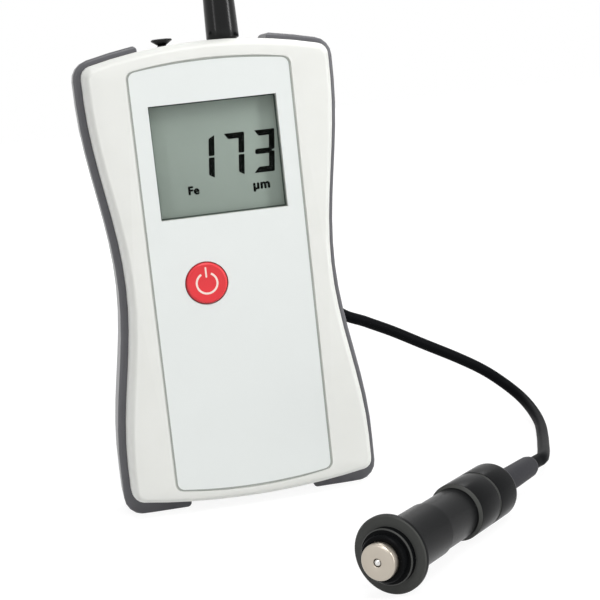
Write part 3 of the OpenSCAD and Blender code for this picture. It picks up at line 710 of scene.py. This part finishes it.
@dataclass
class ProbeLead:
    """The lead from the cable boot over the back of the gauge and along the table to the probe."""

    mount: ProbeMount
    diameter_mm: float = 3.2
    exit_mm: Point = (6.0, 1.0, 144.7)
    straight_mm: float = 4.0
    probe_end_mm: float = 73.0
    steps: int = 8
    round_steps: int = 4
    arch_mm: tuple[Point, ...] = (
        (0.5, 2.8, 15), (1.5, 8.2, 22), (2.8, 16.4, 25.6), (4.2, 25, 23.8), (5.2, 32, 16.5), (5.8, 36, 6),
    )
    fall_mm: tuple[Point, ...] = (
        (12, 38, 136.5), (12.2, 38.3, 122.5), (12.6, 38.5, 108.5), (13.6, 38.6, 94.5), (15.8, 38.6, 81),
        (19.2, 38.4, 68.5), (23.6, 38.2, 57.5), (29, 38, 47.8), (35.2, 38, 37.8), (43.3, 39, 33.4),
        (51.2, 40.2, 29.3), (60.4, 41.6, 24), (70.5, 42.4, 18.3), (77.9, 42.1, 13.6), (83.2, 39.8, 9.2),
        (86.4, 34.8, 5.6), (87, 27, 3.1), (85.4, 16.9, 1.8), (81.2, 3.2, 2), (77.3, -8.3, 3),
        (73.6, -19, 4.3),
    )

    def route(self) -> list[Vector]:
        """Gives the points that the lead goes through, in metres."""
        leave = Vector(self.exit_mm)
        rise = [leave + Vector((0, 0, k * self.straight_mm)) for k in range(3)]
        arch = [leave + Vector(p) for p in self.arch_mm]
        fall = [Vector(p) for p in self.fall_mm]
        home = [self.mount.point(self.probe_end_mm + k * self.straight_mm) for k in (2, 1, 0)]
        return [p * MM for p in rise + arch + fall] + home

    def line(self) -> list[Vector]:
        """Gives a smooth line through the route's points, in metres."""
        p = self.route()
        last = len(p) - 1
        smooth = []
        for i in range(last):
            a, b, c, d = p[max(i - 1, 0)], p[i], p[i + 1], p[min(i + 2, last)]
            square, cube = 2 * a - 5 * b + 4 * c - d, 3 * b - a - 3 * c + d
            for k in range(self.steps):
                t = k / self.steps
                smooth.append(0.5 * (2 * b + (c - a) * t + square * t**2 + cube * t**3))
        return smooth + [p[last]]

    def build(self) -> None:
        """Makes the lead as a round curve along its line."""
        line = self.line()
        data = bpy.data.curves.new("probe_lead_jacket", "CURVE")
        data.dimensions = "3D"
        data.bevel_depth = self.diameter_mm / 2 * MM
        data.bevel_resolution = self.round_steps
        data.use_fill_caps = True
        spline = data.splines.new("POLY")
        spline.points.add(len(line) - 1)
        for point, at in zip(spline.points, line):
            point.co = (*at, 1.0)
        spline.use_smooth = True
        lead = bpy.data.objects.new("probe_lead_jacket", data)
        bpy.context.scene.collection.objects.link(lead)
        carry(lead, LEAD_PVC, "gauge", ("probe_lead",))


@dataclass
class Housing:
    """The two moulded shells, the battery cover and the screws."""

    smooth_degrees: float = 36.0

    def build(self) -> None:
        """Dresses the shells, the cover and the screws."""
        for node, body in (("front_shell", "gauge"), ("rear_shell", "gauge"), ("battery_cover", "cover")):
            piece = merged_copy(node, f"{node}_moulding")
            shade(piece, self.smooth_degrees, weighted=True)
            carry(piece, WHITE_ABS, body, (node,))
        screws = merged_copy("housing_screws", "housing_screw_set")
        shade(screws)
        carry(screws, ZINC, "gauge", ("housing_screws",))


@dataclass
class Grips:
    """The two soft grips, which wrap round the ends of the housing and end in its feet."""

    edge_mm: float = 0.35
    smooth_degrees: float = 40.0

    def build(self) -> None:
        """Softens the edges of the two grips and dresses them."""
        for node in ("grip_left", "grip_right"):
            piece = merged_copy(node, f"{node}_overmould")
            rounded(piece, self.edge_mm)
            shade(piece, self.smooth_degrees, weighted=True)
            carry(piece, GRIP_RUBBER, "gauge", (node,))


class Stroke(Enum):
    """The strokes of a seven-stroke figure: across, up, upright, and the side that its mitres cut."""

    TOP = (0, 1, False, -1)
    MIDDLE = (0, 0, False, 0)
    FOOT = (0, -1, False, 1)
    UPPER_RIGHT = (1, 1, True, 1)
    LOWER_RIGHT = (1, -1, True, -1)


@dataclass(frozen=True)
class Sign:
    """A small sign on the display: its letters, its left end, its foot line and the height of its type."""

    name: str
    letters: str
    x: float
    z: float
    size: float


@dataclass
class Display:
    """The display behind its window: plain figures, a unit and a mode; sizes are in millimetres."""

    window_mid_z: float = 88.1
    window_w: float = 31.2
    window_h: float = 27.6
    border: float = 0.3
    ground_edge: float = 0.1
    glass_front_y: float = -9.8
    figure_w: float = 5.1
    figure_h: float = 10.4
    stroke: float = 1.42
    gap: float = 0.4
    slant: float = 5.5
    figure_mid_z: float = 88.3
    figure_x: tuple[float, ...] = (-3.25, 4.15, 11.7)
    level_short: float = 0.05
    print_t: float = 0.02
    # Shares of a stroke's thickness: mitres, round corners and what the middle stroke loses
    upright_mitre: float = 0.6
    level_mitre: float = 0.8
    corner: float = 0.16
    middle_corner: float = 0.3
    middle_short: float = 0.6
    middle_thick: float = 0.92
    middle_left: float = 0.15
    # Share of the print's thickness that its front stands before the glass
    clear_of_glass: float = 1.5
    letter_space: float = 1.08
    # Shifts of the copies that make a sign bold, to the right and up, as shares of its size
    bold: tuple[tuple[float, float], ...] = ((0.05, 0.0), (0.1, 0.0), (0.05, 0.045), (0.05, -0.045))
    signs: tuple[Sign, ...] = (
        Sign("display_unit", "µm", 7.7, 79.2, 3.2),
        Sign("display_mode", "Fe", -8.3, 79.7, 2.8),
    )
    figures: tuple[tuple[Stroke, ...], ...] = (
        (Stroke.UPPER_RIGHT, Stroke.LOWER_RIGHT),
        (Stroke.TOP, Stroke.UPPER_RIGHT, Stroke.LOWER_RIGHT),
        (Stroke.TOP, Stroke.MIDDLE, Stroke.FOOT, Stroke.UPPER_RIGHT, Stroke.LOWER_RIGHT),
    )

    def build(self) -> None:
        """Makes the window, the display glass and what it shows."""
        for node, name, finish, slot in (
            ("lcd_glass", "display_glass_plate", DISPLAY, "display_glass"),
            ("display_window", "display_window_pane", ACRYLIC, "clear_acrylic"),
        ):
            pane = merged_copy(node, name)
            rounded(pane, self.ground_edge, segments=2)
            shade(pane)
            carry(pane, finish, "gauge", (node,))
        strokes = [
            self._stroke(x, kind) for x, kinds in zip(self.figure_x, self.figures) for kind in kinds
        ]
        # The dark border is painted shade of the recess round the display
        carry(self._border(), RECESS_SHADE, "gauge")
        figures = joined(strokes, "display_figures")
        thickened(figures, self.print_t)
        carry(figures, SEGMENT, "gauge")
        for sign in self.signs:
            carry(self._words(sign), SEGMENT, "gauge")

    def _border(self) -> bpy.types.Object:
        """Models the dark border of the window, painted shade of the recess round the display: a plane that
        is inset and opened.

        Returns:
            The thin border, in its place behind the window.
        """
        piece = start_plane("display_window_border", self.window_w, self.window_h)
        bpy.ops.mesh.select_mode(type="FACE")
        bpy.ops.mesh.inset(thickness=self.border * MM)
        bpy.ops.mesh.delete(type="FACE")
        bpy.ops.object.mode_set(mode="OBJECT")
        settle(piece, facing_front(0, self._front(), self.window_mid_z))
        return thickened(piece, self.print_t)

    def _front(self) -> float:
        """Gives the depth of the front of the figures, just clear of the glass."""
        return self.glass_front_y - self.clear_of_glass * self.print_t

    def _stroke(self, x: float, kind: Stroke) -> bpy.types.Object:
        """Models one stroke of a figure: a plane whose inner corners are drawn in to mitres.

        Args:
            x: The middle of the figure, in millimetres.
            kind: Which stroke it is.

        Returns:
            The flat stroke, in its place.
        """
        across, up, upright, cut = kind.value
        thick = self.stroke
        half_h = self.figure_h / 2
        length = half_h - self.gap / 2 if upright else self.figure_w - self.level_short
        name = f"stroke_{kind.name.lower()}"
        if upright:
            piece = start_plane(name, thick, length)
            pick(piece, lambda co: co.x < 0 and co.y * cut > 0)
            bpy.ops.transform.translate(value=(0, -cut * self.upright_mitre * thick * MM, 0))
        elif cut:
            piece = start_plane(name, length, thick)
            for side in (-1, 1):
                pick(piece, lambda co: co.x * side > 0 and co.y * cut > 0)
                bpy.ops.transform.translate(value=(-side * self.level_mitre * thick * MM, 0, 0))
        else:
            piece = start_plane(name, length - self.middle_short * thick, thick * self.middle_thick)
            bpy.ops.transform.translate(value=(-self.middle_left * thick * MM, 0, 0))
        bpy.ops.mesh.select_all(action="SELECT")
        corner = self.corner if cut else self.middle_corner
        bpy.ops.mesh.bevel(offset=corner * thick * MM, segments=2, affect="VERTICES")
        bpy.ops.object.mode_set(mode="OBJECT")
        right = across * (self.figure_w - thick) / 2
        rise = up * (self.gap / 2 + length / 2 if upright else half_h - thick / 2)
        lean = Matrix.Identity(4)
        lean[0][1] = math.tan(math.radians(self.slant))
        lift = Matrix.Translation((right * MM, rise * MM, 0))
        settle(piece)
        piece.data.transform(lean @ lift)
        settle(piece, facing_front(x, self._front(), self.figure_mid_z))
        return piece

    def _words(self, sign: Sign) -> bpy.types.Object:
        """Makes a small sign on the display as a thin mesh.

        Args:
            sign: What it says, and where.

        Returns:
            The thin mesh, in its place.
        """
        deselect()
        bpy.ops.object.text_add()
        words = bpy.context.object
        words.name = sign.name
        words.data.body = sign.letters
        words.data.size = sign.size * MM
        words.data.space_character = self.letter_space
        bpy.ops.object.convert(target="MESH")
        words = bpy.context.object
        settle(words, facing_front(sign.x, self._front(), sign.z))
        return thickened(self._bold(words, sign.size), self.print_t)

    def _bold(self, words: bpy.types.Object, size: float) -> bpy.types.Object:
        """Makes signs bold with copies that are shifted by a share of their size.

        Args:
            words: The flat signs, in their place.
            size: The height of the type, in millimetres.

        Returns:
            The signs and their copies as one piece.
        """
        name = words.name
        copies = [words]
        for right, up in self.bold:
            select_only(words)
            bpy.ops.object.duplicate()
            copy = bpy.context.object
            settle(copy, Matrix.Translation((right * size * MM, 0, up * size * MM)))
            copies.append(copy)
        return joined(copies, name)


@dataclass
class PowerKey:
    """The round red key with its printed sign; sizes are in millimetres."""

    x: float = -6.45
    z: float = 57.95
    radius: float = 5.1
    rim: float = 0.45
    edge: float = 0.12
    face_y: float = -12.9
    lip_radius: float = 6.35
    lip_y: float = -10.65
    lip_t: float = 0.9
    stem_radius: float = 2.0
    stem_y: float = -6.3
    sign_radius: float = 2.55
    sign_stroke: float = 0.5
    sign_gap: float = 28.0
    sign_steps: int = 48
    tick_w: float = 0.42
    tick_l: float = 2.6
    tick_up: float = 2.7
    tick_corner: float = 0.16
    sign_t: float = 0.03
    sign_sunk: float = 0.02
    dish: float = 0.08
    # Share of the radius that the dish's floor has
    dish_floor: float = 0.82

    def build(self) -> None:
        """Makes the key and its sign."""
        place = facing_front(self.x, self.face_y, self.z)
        deep = self.face_y - self.lip_y
        stem = self.face_y - self.stem_y
        profile = [
            (0.0, -self.dish), (self.radius * self.dish_floor, -self.dish), (self.radius - self.rim, 0.0),
            (self.radius, -self.rim), (self.radius, deep), (self.lip_radius, deep),
            (self.lip_radius, deep - self.lip_t), (self.stem_radius, deep - self.lip_t),
            (self.stem_radius, stem), (0.0, stem),
        ]
        key = turned_piece("power_key_cap", profile, place, self.edge)
        carry(key, RED_ABS, "key", ("power_key",))
        sign = joined([self._ring(), self._tick()], "power_key_sign")
        carry(sign, PAD_PRINT, "key")

    def _sign_place(self) -> Matrix:
        """Gives the place of the sign, just on the dished face of the key."""
        return facing_front(self.x, self.face_y + self.dish - self.sign_t, self.z)

    def _ring(self) -> bpy.types.Object:
        """Models the open ring of the sign by spinning a short edge."""
        inner = self.sign_radius - self.sign_stroke / 2
        start = math.radians(90 + self.sign_gap)
        spot = Vector((math.cos(start), math.sin(start), 0))
        piece = start_vertex("sign_ring", tuple(spot * inner * MM))
        bpy.ops.mesh.extrude_region_move(TRANSFORM_OT_translate={"value": spot * self.sign_stroke * MM})
        bpy.ops.mesh.select_all(action="SELECT")
        sweep = math.radians(360 - 2 * self.sign_gap)
        bpy.ops.mesh.spin(steps=self.sign_steps, angle=-sweep, center=(0, 0, 0), axis=(0, 0, 1))
        bpy.ops.object.mode_set(mode="OBJECT")
        settle(piece, self._sign_place())
        return thickened(piece, self.sign_t + self.sign_sunk)

    def _tick(self) -> bpy.types.Object:
        """Models the short upright line of the sign."""
        piece = start_plane("sign_tick", self.tick_w, self.tick_l)
        bpy.ops.transform.translate(value=(0, self.tick_up * MM, 0))
        bpy.ops.mesh.bevel(offset=self.tick_corner * MM, segments=3, affect="VERTICES")
        bpy.ops.object.mode_set(mode="OBJECT")
        settle(piece, self._sign_place())
        return thickened(piece, self.sign_t + self.sign_sunk)


@dataclass
class FrontFoil:
    """The pale front foil with a grey-green line along its edge, which is painted shade of the groove round
    the foil; sizes are in millimetres.
    """

    mid_z: float = 58.7
    width: float = 39.7
    length: float = 103.6
    corner: float = 1.8
    corner_steps: int = 6
    crown: float = 1.5
    front_y: float = -12.4
    line_w: float = 0.35
    line_t: float = 0.03
    cuts: int = 15
    # How far from an end's level a vertex may lie on it, and by what share past a corner its bend reaches
    end_slack: float = 0.001
    bend_reach: float = 1.01

    def build(self) -> None:
        """Makes the foil and its edge line."""
        foil = merged_copy("front_foil", "front_foil_film")
        carry(foil, FOIL, "gauge", ("front_foil",))
        # The edge line is painted shade of the groove round the foil, in grey-green
        carry(self._edge_line(), EDGE_SHADE, "gauge")

    def _edge_line(self) -> bpy.types.Object:
        """Models the edge line, painted shade of the groove round the foil: a plane with curved ends and
        round corners, inset and opened.

        Returns:
            The thin line, in its place.
        """
        half_w, half_l = self.width / 2 * MM, self.length / 2 * MM
        piece = start_plane("front_foil_edge_line", self.width, self.length)
        bpy.ops.mesh.bevel(offset=self.corner * MM, segments=self.corner_steps, affect="VERTICES")
        bpy.ops.object.mode_set(mode="OBJECT")
        ends = [e for e in piece.data.edges if all(self._on_end(piece, v, half_l) for v in e.vertices)]
        for group in (piece.data.polygons, piece.data.edges, piece.data.vertices):
            for item in group:
                item.select = False
        for edge in ends:
            edge.select = True
        bpy.ops.object.mode_set(mode="EDIT")
        bpy.ops.mesh.select_mode(type="EDGE")
        bpy.ops.mesh.subdivide(number_cuts=self.cuts)
        bpy.ops.object.mode_set(mode="OBJECT")
        for vertex in piece.data.vertices:
            share = max(0.0, 1 - (vertex.co.x / half_w) ** 2)
            if abs(vertex.co.y) > half_l - self.corner * MM * self.bend_reach:
                vertex.co.y += math.copysign(self.crown * MM * share, vertex.co.y)
        bpy.ops.object.mode_set(mode="EDIT")
        bpy.ops.mesh.select_mode(type="FACE")
        bpy.ops.mesh.select_all(action="SELECT")
        bpy.ops.mesh.inset(thickness=self.line_w * MM)
        bpy.ops.mesh.delete(type="FACE")
        bpy.ops.object.mode_set(mode="OBJECT")
        settle(piece, facing_front(0, self.front_y - self.line_t, self.mid_z))
        return thickened(piece, self.line_t)

    def _on_end(self, piece: bpy.types.Object, index: int, half_l: float) -> bool:
        """Says whether a vertex lies on one of the two ends.

        Args:
            piece: The flat piece.
            index: The vertex.
            half_l: How far the ends are from the middle, in metres.

        Returns:
            True if it does.
        """
        return abs(abs(piece.data.vertices[index].co.y) - half_l) < self.end_slack * MM


@dataclass
class TopEnd:
    """The cable boot and the dust plug on the top end; sizes are in millimetres."""

    boot_x: float = 6.0
    plug_x: float = -9.3
    mid_y: float = 1.0
    top_z: float = 116.4
    plug_z: float = 116.032

    def build(self) -> None:
        """Makes the boot and the plug."""
        boot = [
            (0, -4.8), (5.5, -4.8), (5.5, -2.85), (3.5, -2.85), (3.5, 0.05), (3.95, 0.05), (4.1, 0.4),
            (4.05, 3.0), (3.96, 7.0), (3.84, 11.0), (3.62, 15.0), (3.3, 19.0), (2.95, 23.0), (2.62, 26.5),
            (2.5, 27.7), (2.2, 28.3), (0, 28.3),
        ]
        self._turn("cable_boot_moulding", boot, self.boot_x, self.top_z, "gauge", "cable_boot")
        plug = [
            (0, -7.0), (1.25, -7.0), (1.55, -6.7), (1.55, -0.3), (1.0, 0.3), (2.65, 1.4), (2.65, 1.6),
            (2.35, 1.9), (0, 1.9),
        ]
        self._turn("dust_plug_moulding", plug, self.plug_x, self.plug_z, "plug", "dust_plug")

    def _turn(self, name: str, profile: Profile, x: float, z: float, body: str, node: str) -> None:
        """Turns one piece of the top end.

        Args:
            name: The name of the new piece.
            profile: Radius and height of each corner, in millimetres.
            x: Its axis, to the right of the middle.
            z: The height of its seat.
            body: The body that it moves with.
            node: The solid that it replaces.
        """
        place = Matrix.Translation((x * MM, self.mid_y * MM, z * MM))
        carry(turned_piece(name, profile, place), BOOT_PVC, body, (node,))


@dataclass
class Probe:
    """The measuring probe: sleeve with flange, guide ring, barrel, boot and the sensor in the nose."""

    mount: ProbeMount
    edge_mm: float = 0.12
    steps: int = 96
    end_radius_mm: float = 2.0
    end_middle_mm: tuple[float, float] = (4.5, 49.5)
    tip_degrees: float = 60.0
    # Faces outside this radius that look ahead, by this cosine, are faced and painted lighter: painted
    # light on the flange's face and a painted highlight on the front chamfers
    lit_faced_mm: float = 5.75
    lit_faced_cosine: float = 0.6

    def build(self) -> None:
        """Makes the pieces of the probe that show and dresses those inside."""
        place = self.mount.place()
        sleeve = [
            (3.91, -3.3), (4.7, -3.3), (5.0, -3.0), (5.0, -1.6), (5.7, -1.6), (6.0, -1.3), (6.0, 0),
            (8.05, 0), (8.35, 0.3), (8.35, 1.2), (6.05, 1.2), (6.05, 17.2), (5.75, 17.5), (5.7, 17.5),
            (5.7, 30.6), (5.2, 30.6), (5.2, -1.0), (3.91, -1.0), (3.91, -3.3),
        ]
        ring = [
            (5.7, 30.65), (5.8, 30.65), (6.5, 31.35), (6.5, 40.5), (6.0, 41), (5.7, 41), (5.7, 30.65),
        ]
        mid, up = self.end_middle_mm
        turns = [math.radians(a) for a in range(0, 91, 10)]
        round_end = [
            (mid + self.end_radius_mm * math.cos(a), up + self.end_radius_mm * math.sin(a)) for a in turns
        ]
        barrel = [
            (1.8, 21.9), (5.14, 21.9), (5.14, 30.65), (5.65, 30.65), (5.65, 41.05), (6.0, 41.05),
            (6.5, 41.55), *round_end, (2.55, 51.5), (2.55, 46.45), (1.8, 46.45), (1.8, 21.9),
        ]
        tail = [
            (0, 46.5), (2.5, 46.5), (2.5, 51.55), (2.95, 51.55), (2.95, 53.65), (2.6, 71.6), (2.3, 73),
            (0, 73),
        ]
        pole = [
            (0, -4.6), (0.88, -4.6), (0.88, -5.3), (3.55, -5.3), (3.85, -5.0), (3.85, 3), (1.5, 3),
            (1.5, 11.4), (0, 11.4),
        ]
        for name, profile, finish, slot, body, node in (
            ("probe_sleeve_turning", sleeve, ACETAL, "black_plastic", "gauge", "probe_sleeve"),
            ("probe_ring_turning", ring, ACETAL, "black_plastic", "gauge", "probe_ring"),
            ("probe_barrel_turning", barrel, ACETAL, "black_plastic", "gauge", "probe_barrel"),
            ("probe_boot_moulding", tail, TAIL_RUBBER, "black_rubber", "gauge", "probe_boot"),
            ("sensor_pole_turning", pole, NICKEL, "nickel_plate", "sensor", "sensor_pole"),
        ):
            piece = turned_piece(name, profile, place, self.edge_mm, self.steps)
            carry(piece, finish, body, (node,), place)
            # Faces that look towards the nose get a lighter grey: painted light and a painted highlight
            if finish is ACETAL:
                self._paint_lit_faces(piece, place)
        tip = merged_copy("sensor_tip", "sensor_tip_pin")
        shade(tip, self.tip_degrees)
        carry(tip, CARBIDE, "sensor", ("sensor_tip",))

    def _paint_lit_faces(self, piece: bpy.types.Object, place: Matrix) -> None:
        """Gives the faces that look towards the nose the finish of faced acetal, with a lighter grey that
        is painted light.

        Args:
            piece: A turned piece, in its place.
            place: Where the axis of the probe lies.
        """
        piece.data.materials.append(FACED_ACETAL_PAINTED_LIT.material(place))
        ahead = -place.col[2].to_3d()
        back = place.inverted()
        for face in piece.data.polygons:
            at = back @ face.center
            outside = math.hypot(at.x, at.y) > self.lit_faced_mm * MM
            if outside and face.normal.dot(ahead) > self.lit_faced_cosine:
                face.material_index = 1


@dataclass
class InnerWorks:
    """The pieces inside the closed housing and probe; all but the spring keep their solids."""

    mount: ProbeMount
    spring_travel: float = 2.0
    finishes: tuple[tuple[str, Finish], ...] = (
        ("lcd_frame", DARK_PA), ("zebra_strips", ZEBRA), ("main_board", LAMINATE), ("snap_dome", ZINC),
        ("buzzer", DARK_PA), ("battery_cells", JACKET), ("battery_contacts", ZINC),
        ("data_socket", DARK_PA), ("sensor_holder", DARK_PA), ("sensor_coil", COPPER),
    )

    def build(self) -> None:
        """Gives each inner solid its finish."""
        for node, finish in self.finishes:
            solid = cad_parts[node]
            place = self.mount.place() if finish.pattern is not Pattern.MOULDED else None
            solid.data.materials.clear()
            solid.data.materials.append(finish.material(place))
            LOG.info("%s is %s", node, finish.name)
        self._spring()

    def _spring(self) -> None:
        """Makes the spring behind the sensor."""
        spring = merged_copy("sensor_spring", "sensor_spring_wound")
        shade(spring)
        carry(spring, ZINC, "gauge", ("sensor_spring",))
        place = self.mount.place()
        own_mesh(spring)


def main() -> None:
    """Builds the view, the lead and then the sub-assemblies."""
    logging.basicConfig(level=logging.INFO, format="%(name)s: %(message)s")
    mount = ProbeMount()
    PhotoCamera().build()
    ProbeLead(mount).build()
    for part in (
        Housing(), Grips(), FrontFoil(), Display(), PowerKey(), TopEnd(), Probe(mount), InnerWorks(mount),
        Studio(),
    ):
        part.build()


if __name__ == "__main__":
    main()
